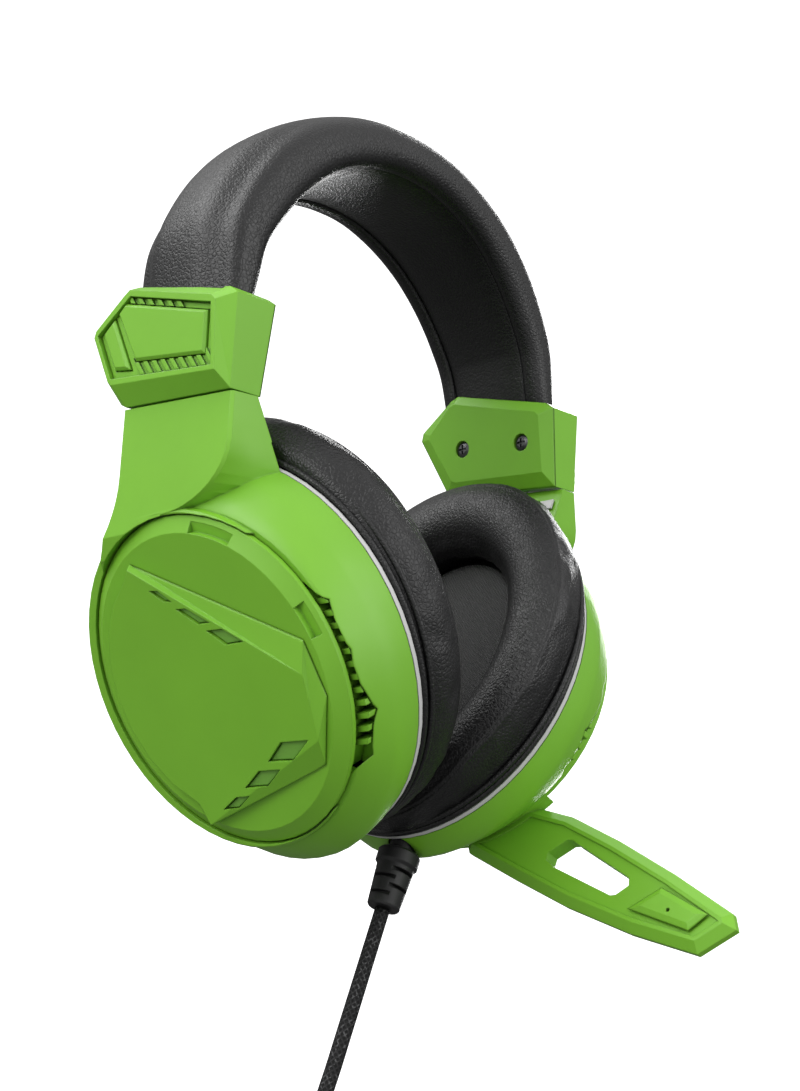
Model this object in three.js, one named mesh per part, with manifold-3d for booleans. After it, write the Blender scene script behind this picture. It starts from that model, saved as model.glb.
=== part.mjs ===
// Over-ear gaming headset with a boom microphone. Millimetres, +Z up, the wearer looks along -Y, and
// the wearer's left ear is at +X. The origin is where the crown of the head meets the headband pad.
//
// Each side is drawn once, outwards along +X, in a frame whose origin is midway between the two ear
// cups. The right side is the same frame mirrored. Inside an ear cup's own tilted frame X points out
// of the ear, Y to the rear and Z up along the arm.

import * as THREE from "three";
import { mergeVertices } from "three/addons/utils/BufferGeometryUtils.js";
import Module from "manifold-3d";

const wasm = await Module();
wasm.setup();

// ---------------------------------------------------------------- driving dimensions

const GAP = 0.3; // clearance between neighbouring pieces

const CUP_OUT = 34.7; // from the middle of the head to the centre of an ear cup's rim
const CUP_TILT = THREE.MathUtils.degToRad(25.4); // the cups lean together at the bottom

const RIM = { u: 47, v: 50.7 }; // half width and half height of the cup's oval rim
const SHELL_WALL = 2.3;
const SEAT = 17; // height of the shoulder that the outer disc sits on
const DISC_RADIUS = 42.1;
const DISC_SHIFT = -0.66; // the disc's centre lies a little below the rim's
const DISC_FACE = 20.9;
const DISC_BEVEL = 3.8;
const SHIELD_FACE = 23.2;
const BOSS_RADIUS = 29.4;

const CUSHION = { u: 49.6, v: 55.3, up: 3.4, depth: 20.6 };
const EAR_HOLE = { u: 28.5, v: 36, up: 0.5 };

const ARCH_CENTRE = 83.15; // height of the headband's centre of curvature
const BAND_STATIONS = 29; // an odd number, so that one flat facet of the pad lies on the crown
const BAND_EDGE = 5.8; // width of the rolled edge along each side of the headband
const BAND_SQUARE = 2.3; // how square the back of its cross section is, where 2 is an ellipse
const BAND_END = -5; // degrees below the arch centre where the padded headband ends
const BAND_OUT = 69.6; // the headband's ends stand this far from the middle
const CROWN_FORWARD = 1.3; // the headband leans forwards by this much at its crown
const PAD_RECESS = 0.4; // the pad against the head lies this deep between the rolled edges
const STEEL = { width: 14, thickness: 1 };

const BLOCK = { edge: 69, face: 72.6, recess: 70.8 }; // slider housing, distances from the middle
const BLOCK_PARTING = 59.8; // where the housing meets its inner cover, at the bottom
const BLOCK_LEAN = 0.1163; // how fast that joint leans inwards going up
const STRIP = { inner: 61.7, outer: 62.9, front: -8, rear: 6, bottom: 41, top: 81.5 };

// Sides of the round forms, from the largest ones that show down to the small hidden ones.
const SIDES = { large: 56, medium: 32, small: 20, bore: 12 };

const SCREW = { head: 2.35, shank: 1.1, boss: 2.7 };

const CORD_RADIUS = 2.1;
const CORD_OUT = 3.6; // distance of the cord's axis from the cup's rim plane
const RELIEF = { top: -53, bottom: -69 };
const HANK = { x: -24, z: -193, run: 80, turnRadius: 12.6, waist: 6.3, columns: 4, layers: 2 };

// ---------------------------------------------------------------- materials

function material(colour, roughness, metalness = 0) {
  return new THREE.MeshStandardMaterial({ color: colour, roughness, metalness });
}

const GREEN = material(0x7dbe46, 0.42);
const GREEN_GLOSS = material(0x6aa338, 0.2);
const LEATHER = material(0x2a2a2b, 0.55);
const PALE = material(0xd0d2d0, 0.45);
const CLOTH = material(0x404040, 0.95);
const BLACK = material(0x1b1b1c, 0.6);
const STEEL_DARK = material(0x55575a, 0.35, 0.9);
const STEEL_BRIGHT = material(0xb8bbbe, 0.3, 1);
const GOLD = material(0xc9a45a, 0.25, 1);

// ---------------------------------------------------------------- geometry helpers

const at = (x, y, z) => new THREE.Vector3(x, y, z);

// A manifold-3d solid from a closed three.js geometry, whichever way its faces were wound.
function solid(geometry) {
  const bare = geometry.clone();
  bare.deleteAttribute("normal");
  bare.deleteAttribute("uv");
  const merged = mergeVertices(bare, 1e-4);
  const triVerts = Uint32Array.from(merged.index.array);
  const build = () => {
    const vertProperties = merged.attributes.position.array;
    return new wasm.Manifold(new wasm.Mesh({ numProp: 3, vertProperties, triVerts }));
  };
  const made = build();
  if (made.volume() > 0) return made;
  for (let i = 0; i < triVerts.length; i += 3) {
    [triVerts[i + 1], triVerts[i + 2]] = [triVerts[i + 2], triVerts[i + 1]];
  }
  return build();
}

function named(name, shape, look) {
  const { vertProperties, triVerts } = shape.getMesh();
  const geometry = new THREE.BufferGeometry();
  geometry.setAttribute("position", new THREE.BufferAttribute(vertProperties, 3));
  geometry.setIndex(new THREE.BufferAttribute(triVerts, 1));
  geometry.computeVertexNormals();
  const mesh = new THREE.Mesh(geometry, look);
  mesh.name = name;
  return mesh;
}

function joined(shapes) {
  return shapes.reduce((sum, one) => sum.add(one));
}

// The ring's points in the plane that it lies in, for closing an end.
function flattened(ring) {
  const normal = at(0, 0, 0);
  ring.forEach((p, i) => {
    const q = ring[(i + 1) % ring.length];
    normal.add(new THREE.Vector3().crossVectors(p, q));
  });
  normal.normalize();
  const helper = Math.abs(normal.x) < 0.8 ? at(1, 0, 0) : at(0, 1, 0);
  const across = new THREE.Vector3().crossVectors(helper, normal).normalize();
  const along = new THREE.Vector3().crossVectors(normal, across);
  return ring.map((p) => new THREE.Vector2(p.dot(across), p.dot(along)));
}

// One closed surface over a row of rings that all have the same number of points. A looped row
// joins its last ring to its first, and any other row is closed by a flat face at each end.
function skin(rings, looped = false) {
  const count = rings[0].length;
  const points = rings.flat();
  const faces = [];
  const rows = looped ? rings.length : rings.length - 1;
  for (let i = 0; i < rows; i++) {
    for (let j = 0; j < count; j++) {
      const a = i * count + j;
      const b = i * count + ((j + 1) % count);
      const c = ((i + 1) % rings.length) * count + j;
      const d = ((i + 1) % rings.length) * count + ((j + 1) % count);
      faces.push(a, b, d, a, d, c);
    }
  }
  if (!looped) {
    const last = (rings.length - 1) * count;
    for (const [a, b, c] of THREE.ShapeUtils.triangulateShape(flattened(rings[0]), [])) {
      faces.push(a, c, b);
    }
    for (const [a, b, c] of THREE.ShapeUtils.triangulateShape(flattened(rings.at(-1)), [])) {
      faces.push(last + a, last + b, last + c);
    }
  }
  const geometry = new THREE.BufferGeometry();
  const position = points.flatMap((p) => [p.x, p.y, p.z]);
  geometry.setAttribute("position", new THREE.Float32BufferAttribute(position, 3));
  geometry.setIndex(faces);
  return solid(geometry);
}

// A flat outline, given as [y, z] pairs, standing between two distances x.
function prism(outline, x0, x1) {
  return skin([x0, x1].map((x) => outline.map(([y, z]) => at(x, y, z))));
}

function box(x0, x1, y0, y1, z0, z1) {
  const geometry = new THREE.BoxGeometry(x1 - x0, y1 - y0, z1 - z0);
  return solid(geometry.translate((x0 + x1) / 2, (y0 + y1) / 2, (z0 + z1) / 2));
}

// A turned solid about the X axis. The profile is a list of [radius, x] that starts and ends on
// the axis, or closes on itself when it is a ring.
function turned(profile, segments, y = 0, z = 0) {
  const points = profile.map(([r, x]) => new THREE.Vector2(r, x));
  const geometry = new THREE.LatheGeometry(points, segments);
  return solid(geometry.rotateZ(-Math.PI / 2).translate(0, y, z));
}

function rod(radius, x0, x1, y, z, segments = SIDES.small) {
  return turned([[0, x0], [radius, x0], [radius, x1], [0, x1]], segments, y, z);
}

// An outline moved outwards by the given distance, or inwards when it is negative.
function offset(outline, distance) {
  const area = outline.reduce((sum, [y, z], i) => {
    const [y1, z1] = outline[(i + 1) % outline.length];
    return sum + y * z1 - y1 * z;
  }, 0);
  const side = Math.sign(area) * distance;
  return outline.map(([y, z], i) => {
    const [ya, za] = outline.at(i - 1);
    const [yb, zb] = outline[(i + 1) % outline.length];
    const before = new THREE.Vector2(z - za, ya - y).normalize();
    const after = new THREE.Vector2(zb - z, y - yb).normalize();
    const middle = before.clone().add(after).normalize();
    const reach = side / Math.max(0.4, middle.dot(before));
    return [y + middle.x * reach, z + middle.y * reach];
  });
}

// Points of a circular arc about (0, centre), by angle in degrees from +Y towards +Z.
function arc(radius, from, to, steps, centre = DISC_SHIFT) {
  return Array.from({ length: steps + 1 }, (_, i) => {
    const angle = THREE.MathUtils.degToRad(from + ((to - from) * i) / steps);
    return [radius * Math.cos(angle), centre + radius * Math.sin(angle)];
  });
}

const polar = (radius, angle) => arc(radius, angle, angle, 1)[0];

function oval(x, u, v, up = 0, count = SIDES.large) {
  return Array.from({ length: count }, (_, i) => {
    const angle = (2 * Math.PI * i) / count;
    return at(x, u * Math.cos(angle), up + v * Math.sin(angle));
  });
}

const smooth = (t) => t * t * (3 - 2 * t);

// ---------------------------------------------------------------- headband

// Distance from the arch centre to the outside of the headband: a rounded, slightly square arch.
function archRadius(angle) {
  const round = 76.9 - 10 * Math.sin(angle) - 2.4 * Math.cos(2 * angle);
  const free = round - 0.8 * Math.cos(4 * angle);
  const upright = BAND_OUT / Math.abs(Math.cos(angle));
  return Math.min(free, upright);
}

const bandThickness = (angle) => 12 + 17 * Math.sin(angle) - 12.6 * Math.sin(angle) ** 2;
const bandWidth = (angle) => 37.8 + 4 * Math.sin(angle);

// The channel in the underside of the cover, which holds the steel band and the inner pad.
const channelDepth = (angle) => 0.61 * bandThickness(angle);

// A row of cross sections round the arch. The section function returns [across, depth] points.
function aroundArch(section, end = BAND_END, stations = BAND_STATIONS) {
  const rings = [];
  for (let i = 0; i <= stations; i++) {
    const angle = THREE.MathUtils.degToRad(end + ((180 - 2 * end) * i) / stations);
    const ring = section(angle, i, stations).map(([across, depth]) => {
      const r = archRadius(angle) - depth;
      const y = across - CROWN_FORWARD * Math.sin(angle);
      return at(r * Math.cos(angle), y, ARCH_CENTRE + r * Math.sin(angle));
    });
    rings.push(ring);
  }
  return skin(rings);
}

// The wrapped cover: a thick C whose open side faces the head. Its back is crowned like a flattened
// ellipse, and its edges roll in to a lip on each side of the pad.
function coverSection(angle) {
  const half = bandWidth(angle) / 2;
  const deep = bandThickness(angle);
  const lip = half - BAND_EDGE;
  const back = 0.6 * deep;
  const right = [[lip + 2.4, deep - 0.4], [half - 1, deep - 2.6]];
  const steps = 5;
  for (let i = 0; i < steps; i++) {
    const turn = (Math.PI / 2) * (i / steps);
    const across = half * Math.cos(turn) ** (2 / BAND_SQUARE);
    right.push([across, back - back * Math.sin(turn) ** (2 / BAND_SQUARE)]);
  }
  const left = right.map(([a, d]) => [-a, d]).reverse();
  const floor = deep - channelDepth(angle);
  return [...right, [0, 0], ...left, [-lip, deep], [-lip, floor], [lip, floor], [lip, deep]];
}

function steelSection(angle) {
  const top = bandThickness(angle) - channelDepth(angle) + GAP;
  const half = STEEL.width / 2;
  const low = top + STEEL.thickness;
  return [[-half, top], [half, top], [half, low], [-half, low]];
}

// The pad against the head is thinner at its ends, where the slider strip runs behind it.
function padSection(angle, i, stations) {
  const fromEnd = Math.min(i, stations - i);
  const room = fromEnd < 4 ? 2.6 : 0;
  const half = bandWidth(angle) / 2 - BAND_EDGE - GAP;
  const top = bandThickness(angle) - channelDepth(angle) + STEEL.thickness + 2 * GAP + room;
  const low = bandThickness(angle) - PAD_RECESS;
  const soft = [1.2, 0.8];
  const right = [[half, top], [half, low - soft[1]], [half - soft[0], low]];
  const left = right.map(([a, d]) => [-a, d]).reverse();
  return [...right, ...left];
}

// Height of the pad's middle facet above the line between the ear cups.
function crownHeight() {
  const step = (180 - 2 * BAND_END) / BAND_STATIONS;
  const angle = THREE.MathUtils.degToRad(90 - step / 2);
  const inside = archRadius(angle) - bandThickness(angle) + PAD_RECESS;
  return ARCH_CENTRE + inside * Math.sin(angle);
}

function headband() {
  const group = new THREE.Group();
  group.add(named("headband_cover", aroundArch(coverSection), LEATHER));
  group.add(named("headband_band", aroundArch(steelSection), STEEL_DARK));
  group.add(named("headband_inner_pad", aroundArch(padSection), LEATHER));
  return group;
}

// ---------------------------------------------------------------- slider housing

const BLOCK_OUTLINE = [[-22.3, 57], [-24.2, 80.4], [-21.5, 82.4], [11.5, 91], [14.5, 90], [27, 82],
  [27.9, 79.6], [18.9, 61.2], [17, 60.2]];
const BLOCK_FACE = [[-20.4, 61.2], [-20.2, 78.6], [-18.8, 80.1], [12.6, 89.3], [14.8, 88.2], [25.9, 81.5],
  [26.6, 79.8], [20.2, 66.6], [18.9, 65.6]];
const RECESS = [[-19.1, 62.6], [-18.6, 78.3], [12.4, 87.6], [25.2, 80], [19.2, 67.2]];
const MAIN_PANEL = [[-16.4, 66.1], [-16.9, 76.8], [14.6, 86.2], [17.4, 84.1], [9.8, 70]];
const SLIVER = [[11.9, 68.3], [19, 83], [23.3, 80.1], [18, 69.4]];
const COVER_FACE = [[-19.2, 61.6], [-19.6, 78.6], [-18.4, 79.9], [11.9, 88.2], [13.8, 87.6], [22.6, 80.2],
  [23.2, 78.9], [15.6, 64.6], [14, 63.8]];
const SCREWS = { front: [-12.5, 71.7], rear: [10.1, 73.6] };

const parting = (z) => BLOCK_PARTING - BLOCK_LEAN * (z - BLOCK_OUTLINE[0][1]);

function onParting(outline, depth) {
  return outline.map(([y, z]) => at(parting(z) - depth, y, z));
}

function standing(outline, x) {
  return outline.map(([y, z]) => at(x, y, z));
}

// The slot that the slider strip runs through, between two heights.
function stripSlot(bottom, top) {
  const { inner, outer, front, rear } = STRIP;
  return box(inner - GAP, outer + GAP, front - GAP, rear + GAP, bottom, top);
}

function sliderHousing() {
  const outer = skin([
    onParting(BLOCK_OUTLINE, 0),
    standing(BLOCK_OUTLINE, BLOCK.edge),
    standing(BLOCK_FACE, BLOCK.face),
  ]);
  const bandPocket = box(50, BAND_OUT + 0.4, -19.8, 19.8, 76.4, 100);
  const stripRoom = box(50, BAND_OUT, -16.5, 13.5, 61.5, 77);
  const recess = prism(RECESS, BLOCK.recess, BLOCK.face + 5);
  const hollow = outer.subtract(bandPocket).subtract(stripRoom).subtract(stripSlot(50, 63)).subtract(recess);
  const places = Object.values(SCREWS);
  const bosses = places.map(([y, z]) => rod(SCREW.boss, 58.4, BAND_OUT + 0.5, y, z, SIDES.bore));
  const bores = places.map(([y, z]) => rod(SCREW.shank + GAP, 50, 67.5, y, z, SIDES.bore));
  return joined([hollow, ...bosses]).subtract(joined(bores));
}

function housingInnerCover() {
  const thick = 2.3;
  const plate = skin([onParting(BLOCK_OUTLINE, GAP), onParting(COVER_FACE, thick)]);
  const sinks = Object.values(SCREWS).map(([y, z]) => {
    return rod(SCREW.head + GAP, 50, parting(z) - 0.9, y, z, SIDES.small);
  });
  const holes = Object.values(SCREWS).map(([y, z]) => rod(SCREW.shank + GAP, 50, 62, y, z, SIDES.bore));
  return plate.subtract(joined([...sinks, ...holes]));
}

// A pan-head screw pointing outwards from the inner cover, with a cross recess in its head.
function coverScrew([y, z]) {
  const face = parting(z) - 2.1;
  const under = face + 0.9;
  const { head, shank } = SCREW;
  const profile = [[0, face - 0.25], [head * 0.6, face - 0.15], [head, face + 0.35], [head, under],
    [shank, under], [shank, 66.5], [0, 67.2]];
  const body = turned(profile, SIDES.bore + 4, y, z);
  const reach = head * 0.62;
  const slot = 0.32;
  const cross = joined([
    box(face - 1, face + 0.6, y - reach, y + reach, z - slot, z + slot),
    box(face - 1, face + 0.6, y - slot, y + slot, z - reach, z + reach),
  ]);
  return body.subtract(cross);
}

function raisedPanel(outline) {
  const base = BLOCK.recess + GAP;
  return skin([
    standing(outline, base),
    standing(outline, BLOCK.face - 0.7),
    standing(offset(outline, -0.7), BLOCK.face - 0.1),
  ]);
}

// A ribbed plate in the floor of the housing's recess, showing between the two raised panels.
function housingGrille() {
  const base = BLOCK.recess + GAP;
  const plateTop = base + 0.35;
  const ribTop = BLOCK.face - 0.55;
  const around = prism(offset(RECESS, -GAP), base, ribTop);
  const openings = [MAIN_PANEL, SLIVER].map((o) => prism(offset(o, GAP), base - 1, ribTop + 1));
  const region = around.subtract(joined(openings));
  const plate = box(base, plateTop, -30, 30, 50, 100);
  const bars = [];
  const width = 1.4;
  const slant = 21; // how far each bar leans to the rear between the bottom and the top
  for (let y = -22; y <= 22; y += 3) {
    const bar = [[y, 60], [y + width, 60], [y + width + slant, 90], [y + slant, 90]];
    bars.push(prism(bar, base, ribTop));
  }
  const clear = prism([[18.2, 89], [8.6, 66], [30, 66], [30, 89]], base + 0.36, ribTop + 1);
  return region.intersect(joined([plate, ...bars])).subtract(clear);
}

function sliderStrip() {
  return box(STRIP.inner, STRIP.outer, STRIP.front, STRIP.rear, STRIP.bottom, STRIP.top);
}

// ---------------------------------------------------------------- ear cup shell and arm

// Brings a shape from the side's upright frame into the ear cup's tilted frame.
function intoCup(shape) {
  const degrees = THREE.MathUtils.radToDeg(CUP_TILT);
  return shape.translate([-CUP_OUT, 0, 0]).rotate([0, -degrees, 0]);
}

const SHELL_RINGS = [
  [GAP, 47, 50.7, 0],
  [4, 47, 51.3, -0.6],
  [8, 46.5, 51.2, -1.2],
  [9.5, 46.1, 50.6, -1.3],
  [11, 45.6, 49.4, -1.2],
  [14, 44.7, 47, -1],
  [SEAT - 0.5, 43.8, 44.2, -0.7],
  [SEAT, 43.2, 43.4, DISC_SHIFT],
];

function shellBody() {
  return skin(SHELL_RINGS.map(([x, u, v, up]) => oval(x, u, v, up)));
}

function shellHollow() {
  const rings = SHELL_RINGS.filter((_, i) => i === 2 || i === 5).map(([x, u, v, up]) => {
    return oval(x, u - SHELL_WALL - 0.35, v - SHELL_WALL - 0.35, up, SIDES.medium);
  });
  const mouth = oval(-2, RIM.u - SHELL_WALL, RIM.v - SHELL_WALL, 0, SIDES.medium);
  const floor = oval(SEAT - SHELL_WALL, 40.6, 41.4, DISC_SHIFT, SIDES.medium);
  return skin([mouth, ...rings, floor]);
}

const ARM = { frontOuter: -22.8, frontInner: -23.6, rear: 19.4, sweepTop: 45, sweepHeight: 15.2, lowest: 10 };

// The outer face leans out a little going down, then turns in to run out on the cup's shoulder.
function armOutside(z) {
  const leaning = 68.8 + (57 - Math.max(z, 27)) * 0.0536;
  return leaning - Math.max(0, 27 - z) * 0.45 - Math.max(0, 22 - z) * 0.75;
}

const armInside = (z) => CUP_OUT + z * Math.tan(CUP_TILT);

// The outer front edge comes straight down, then sweeps back in a quarter ellipse until it is
// tangent to the top of the disc.
function armFrontEdge(z) {
  const drop = Math.min(1, Math.max(0, ARM.sweepTop - z) / ARM.sweepHeight);
  return ARM.frontOuter * Math.sqrt(1 - drop * drop);
}

function armRearEdge(z) {
  const flare = Math.max(0, 42 - z);
  return ARM.rear + flare * flare * 0.021;
}

function armSection(z) {
  const outside = armOutside(z);
  const inside = armInside(z);
  const front = armFrontEdge(z);
  const rear = armRearEdge(z);
  const soft = 0.7;
  const hollow = 0.5 * (ARM.frontInner + front) - 0.06 * (front - ARM.frontOuter);
  return [
    at(inside, ARM.frontInner, z),
    at(0.5 * (inside + outside), hollow, z),
    at(outside - soft, front - 0.1, z),
    at(outside, front + soft, z),
    at(outside, rear - 1.6, z),
    at(outside - 1.4, rear, z),
    at(inside, rear - 0.6, z),
  ];
}

function armBody() {
  const straight = [66, 57, 50, 45];
  const sweep = [42, 39.5, 37, 35, 33.3, 32, 31, 30.3, 29.8];
  const runOut = [27, 24.5, 22, 18.5, 15, 12, ARM.lowest];
  const heights = [...straight, ...sweep, ...runOut];
  const whole = skin(heights.map(armSection));
  const [frontY, frontZ] = BLOCK_OUTLINE[0];
  const [rearY, rearZ] = BLOCK_OUTLINE.at(-1);
  const slope = (rearZ - frontZ) / (rearY - frontY);
  const under = (y) => frontZ - 0.5 + slope * (y - frontY);
  return whole.subtract(prism([[-50, under(-50)], [50, under(50)], [50, 120], [-50, 120]], 0, 100));
}

// The arm is hollow from the inside, between the top of the ear cup and the slider housing.
const ARM_POCKET = { front: -16, rear: 12, low: 52.2, high: 60, top: 53.6, outside: 66.4, bottom: 40 };

function armPocket() {
  const { front, rear, low, high, top, outside, bottom } = ARM_POCKET;
  const cos = Math.cos(CUP_TILT);
  const sin = Math.sin(CUP_TILT);
  const mouth = (v, x) => [CUP_OUT + x * cos + v * sin, v * cos - x * sin];
  const outline = [mouth(low, -4), mouth(low, 3), [61, bottom], [outside, bottom], [outside, top],
    [mouth(high, 0)[0], top], mouth(high, -4)];
  const rings = [front, rear].map((y) => outline.map(([x, z]) => at(x, y, z)));
  return skin(rings);
}

// The vent is a crescent window in the front shoulder, between the disc and a raised lip.
const VENT = { from: 151, to: 218, inner: 39.6, floor: 9.6 };
const VENT_LIP = [[-41.5, 14.6], [-43.8, 2.6], [-43.5, -12.8], [-39, -23.4]];

function ventOutline() {
  const inner = arc(VENT.inner, VENT.to, VENT.from, 8);
  return [...inner, polar(DISC_RADIUS, VENT.from), ...VENT_LIP, polar(DISC_RADIUS, VENT.to)];
}

// A collar stands round the rear of the disc. It is round too, but its centre lies to the rear of the
// disc's, so it thins out towards the front.
const COLLAR = { shift: 2.2, radius: 43.9, draft: 1, foot: 8, top: 19.2, bevel: 0.6 };

function discCollar() {
  const { shift, radius, draft, foot, top, bevel } = COLLAR;
  const inner = radius - 3.4;
  const profile = [[inner, foot], [radius + draft, foot], [radius, top - bevel], [radius - bevel, top],
    [inner, top], [inner, foot]];
  return turned(profile, SIDES.large, shift, DISC_SHIFT);
}

function cupShell() {
  const arm = intoCup(armBody().subtract(armPocket()));
  const slot = intoCup(stripSlot(40, 70));
  const discSeat = rod(DISC_RADIUS + 0.5, SEAT, 40, 0, DISC_SHIFT, SIDES.large);
  const opening = rod(BOSS_RADIUS + 0.6, 0, 30, 0, DISC_SHIFT, SIDES.medium);
  const vent = prism(ventOutline(), VENT.floor, 30);
  const rimPlane = box(-40, GAP, -80, 80, -80, RIM.v + 0.4);
  const shell = shellBody().add(arm).add(discCollar()).subtract(rimPlane).subtract(shellHollow());
  return shell.subtract(discSeat).subtract(opening).subtract(vent).subtract(slot);
}

function armInnerCover() {
  const { front, rear, low, high } = ARM_POCKET;
  return box(-0.3, 1.5, front + GAP, rear - GAP, low + 0.5, high - 0.6);
}

function sideBadge() {
  return box(-0.9, -0.3, -21.8, -17, 55.2, 58.4);
}

// A tray in the window: a floor, a curved back wall and a row of fins that reach the lip.
function ventGrille() {
  const floor = VENT.floor + 2;
  const top = SEAT - 0.6;
  const outline = offset(ventOutline(), -GAP);
  const tray = prism(outline, VENT.floor + GAP, floor);
  const { from, to } = VENT;
  const wallOutline = [...arc(VENT.inner + GAP, to, from, 8), ...arc(VENT.inner + 1, from, to, 8)];
  const region = prism(outline, floor - 0.5, top);
  const wall = prism(wallOutline, floor - 0.5, top).intersect(region);
  const fins = [];
  for (let i = 0; i < 12; i++) {
    const v = 14.6 - i * 3.1;
    fins.push(box(floor - 0.5, top - 0.4, -60, -34, v - 0.65, v + 0.65));
  }
  return joined([tray, wall, joined(fins).intersect(region)]);
}

function trimRing() {
  const inner = { u: RIM.u - 3.1, v: RIM.v - 3.1 };
  return skin([
    oval(-1.3, inner.u, inner.v),
    oval(-1.3, RIM.u, RIM.v),
    oval(0, RIM.u, RIM.v),
    oval(0, inner.u, inner.v),
  ], true);
}

// ---------------------------------------------------------------- disc and shield

function outerDisc(radius) {
  const back = SEAT + GAP;
  const inner = radius - DISC_BEVEL;
  const bossFront = SEAT - 1.2;
  const profile = [[0, bossFront], [BOSS_RADIUS, bossFront], [BOSS_RADIUS, back], [radius, back],
    [radius, 18.6], [radius - 0.8, 19], [inner, DISC_FACE], [0, DISC_FACE]];
  const whole = turned(profile, SIDES.large, 0, DISC_SHIFT);
  const notches = [[103, 122, 19.2], [156, 168, 19.2]].map(([from, to, level]) => {
    return prism([...arc(inner, from, to, 4), ...arc(radius - 1.3, to, from, 4)], level, 30);
  });
  return radius < DISC_RADIUS ? whole : whole.subtract(joined(notches));
}

// Outline corners of the shield: the raised face, and the wider base that its facets run down to.
const SHIELD_TOP = [[14.2, 31.1], [-33.8, -0.1], [-33.2, -8], [-32.3, -16], [14, -36.2]];
const SHIELD_BASE = [[15, 32.2], [-35.4, 7.6], [-37.4, -6], [-30.2, -22.6], [12.6, -36.2]];
const SHIELD_REAR = { radius: 33.5, from: -62, to: 60, steps: 8 };

function shieldOutline(corners, grow) {
  const { radius, from, to, steps } = SHIELD_REAR;
  return [...corners, ...arc(radius + grow, from, to, steps)];
}

const WINDOWS = [
  [[8.7, 25.1], [5.6, 24.8], [1.7, 21.5], [4.7, 21.9]],
  [[1.2, 19.6], [-2.3, 19.4], [-9.1, 15.1], [-4.7, 15.1]],
  [[-7, 13.3], [-12.5, 13.2], [-18.4, 9.4], [-12, 9.2]],
  [[-13.8, -20.3], [-19.9, -15.7], [-29.3, -15.6], [-22, -20.5]],
  [[-2.9, -26.7], [-9.5, -22.5], [-17.1, -22.4], [-10.6, -26.6]],
  [[7.3, -32.1], [1.4, -29], [-3.5, -28.8], [2.1, -32]],
];
const GUIDE_TOP = SHIELD_FACE - 0.7;
const GUIDE_PLATE = { base: DISC_FACE + GAP, top: DISC_FACE + GAP + 0.5 };
const GUIDE_OUTLINE = [[9, 27], [-29.6, 1], [-31, -13], [-28, -19.4], [8, -34], [24, -20], [27, -2],
  [22, 15]];

function shieldPanel() {
  const base = standing(shieldOutline(SHIELD_BASE, 0.8), DISC_FACE + GAP);
  const top = standing(shieldOutline(SHIELD_TOP, 0), SHIELD_FACE);
  const pocket = prism(GUIDE_OUTLINE, DISC_FACE, GUIDE_PLATE.top + GAP);
  const windows = WINDOWS.map((w) => prism(w, DISC_FACE, SHIELD_FACE + 1));
  return skin([base, top]).subtract(pocket).subtract(joined(windows));
}

// The translucent plate behind the shield, with a boss standing in each of its six windows.
function lightGuide() {
  const plate = prism(offset(GUIDE_OUTLINE, -GAP), GUIDE_PLATE.base, GUIDE_PLATE.top);
  const bosses = WINDOWS.map((w) => prism(offset(w, -GAP), GUIDE_PLATE.base, GUIDE_TOP));
  return joined([plate, ...bosses]);
}

// ---------------------------------------------------------------- inside the cup, and the cushion

function baffle() {
  const u = RIM.u - 3.6;
  const v = RIM.v - 3.6;
  const plate = skin([oval(-1.2, u, v, 0, SIDES.medium), oval(1.2, u, v, 0, SIDES.medium)]);
  return plate.subtract(rod(24, -5, 5, 0, 0, SIDES.medium));
}

function driverFrame() {
  const profile = [[22, 1.6], [25.5, 1.6], [25.5, 3.4], [20, 7.6], [15, 7.6], [22, 3.6], [22, 1.6]];
  return turned(profile, SIDES.small);
}

function driverMagnet() {
  return turned([[0, 8], [14, 8], [14, 12.6], [13.4, 13.2], [0, 13.2]], SIDES.small);
}

function driverDiaphragm() {
  const profile = [[0, 0.3], [9, 1.3], [12, 2.2], [17, 1.6], [21.5, 2.2], [21.5, 2.8], [17, 2.3], [12, 2.9],
    [9, 2], [0, 1]];
  return turned(profile, SIDES.small);
}

function speakerCloth() {
  const u = EAR_HOLE.u - 1;
  const v = EAR_HOLE.v - 1;
  const front = oval(-4.6, u - 1, v - 1, EAR_HOLE.up, SIDES.medium);
  return skin([oval(-3.4, u, v, EAR_HOLE.up, SIDES.medium), front]);
}

// Cross section of the cushion, from the ear hole outwards: [how far from hole to outline, depth].
const CUSHION_SECTION = [[0.05, 0.09], [0, 0.45], [0.06, 0.74], [0.22, 0.93], [0.45, 1], [0.68, 0.99],
  [0.86, 0.93], [0.96, 0.8], [1, 0.62], [0.97, 0.36], [0.88, 0.18], [0.84, 0.09]];

// The two cushions lean together at the bottom, so each is thinner there.
function cushionDepth(up) {
  const room = (CUP_OUT - 0.6 + up * Math.sin(CUP_TILT)) / Math.cos(CUP_TILT);
  return Math.min(CUSHION.depth, room);
}

function earCushion() {
  const count = 36;
  const rings = Array.from({ length: count }, (_, i) => {
    const angle = (2 * Math.PI * i) / count;
    return CUSHION_SECTION.map(([out, depth]) => {
      const u = THREE.MathUtils.lerp(EAR_HOLE.u, CUSHION.u, out) * Math.cos(angle);
      const rise = THREE.MathUtils.lerp(EAR_HOLE.v, CUSHION.v, out) * Math.sin(angle);
      const v = THREE.MathUtils.lerp(EAR_HOLE.up, CUSHION.up, out) + rise;
      return at(-depth * cushionDepth(v), u, v);
    });
  });
  return skin(rings, true);
}

// ---------------------------------------------------------------- microphone boom (left cup only)

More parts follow.
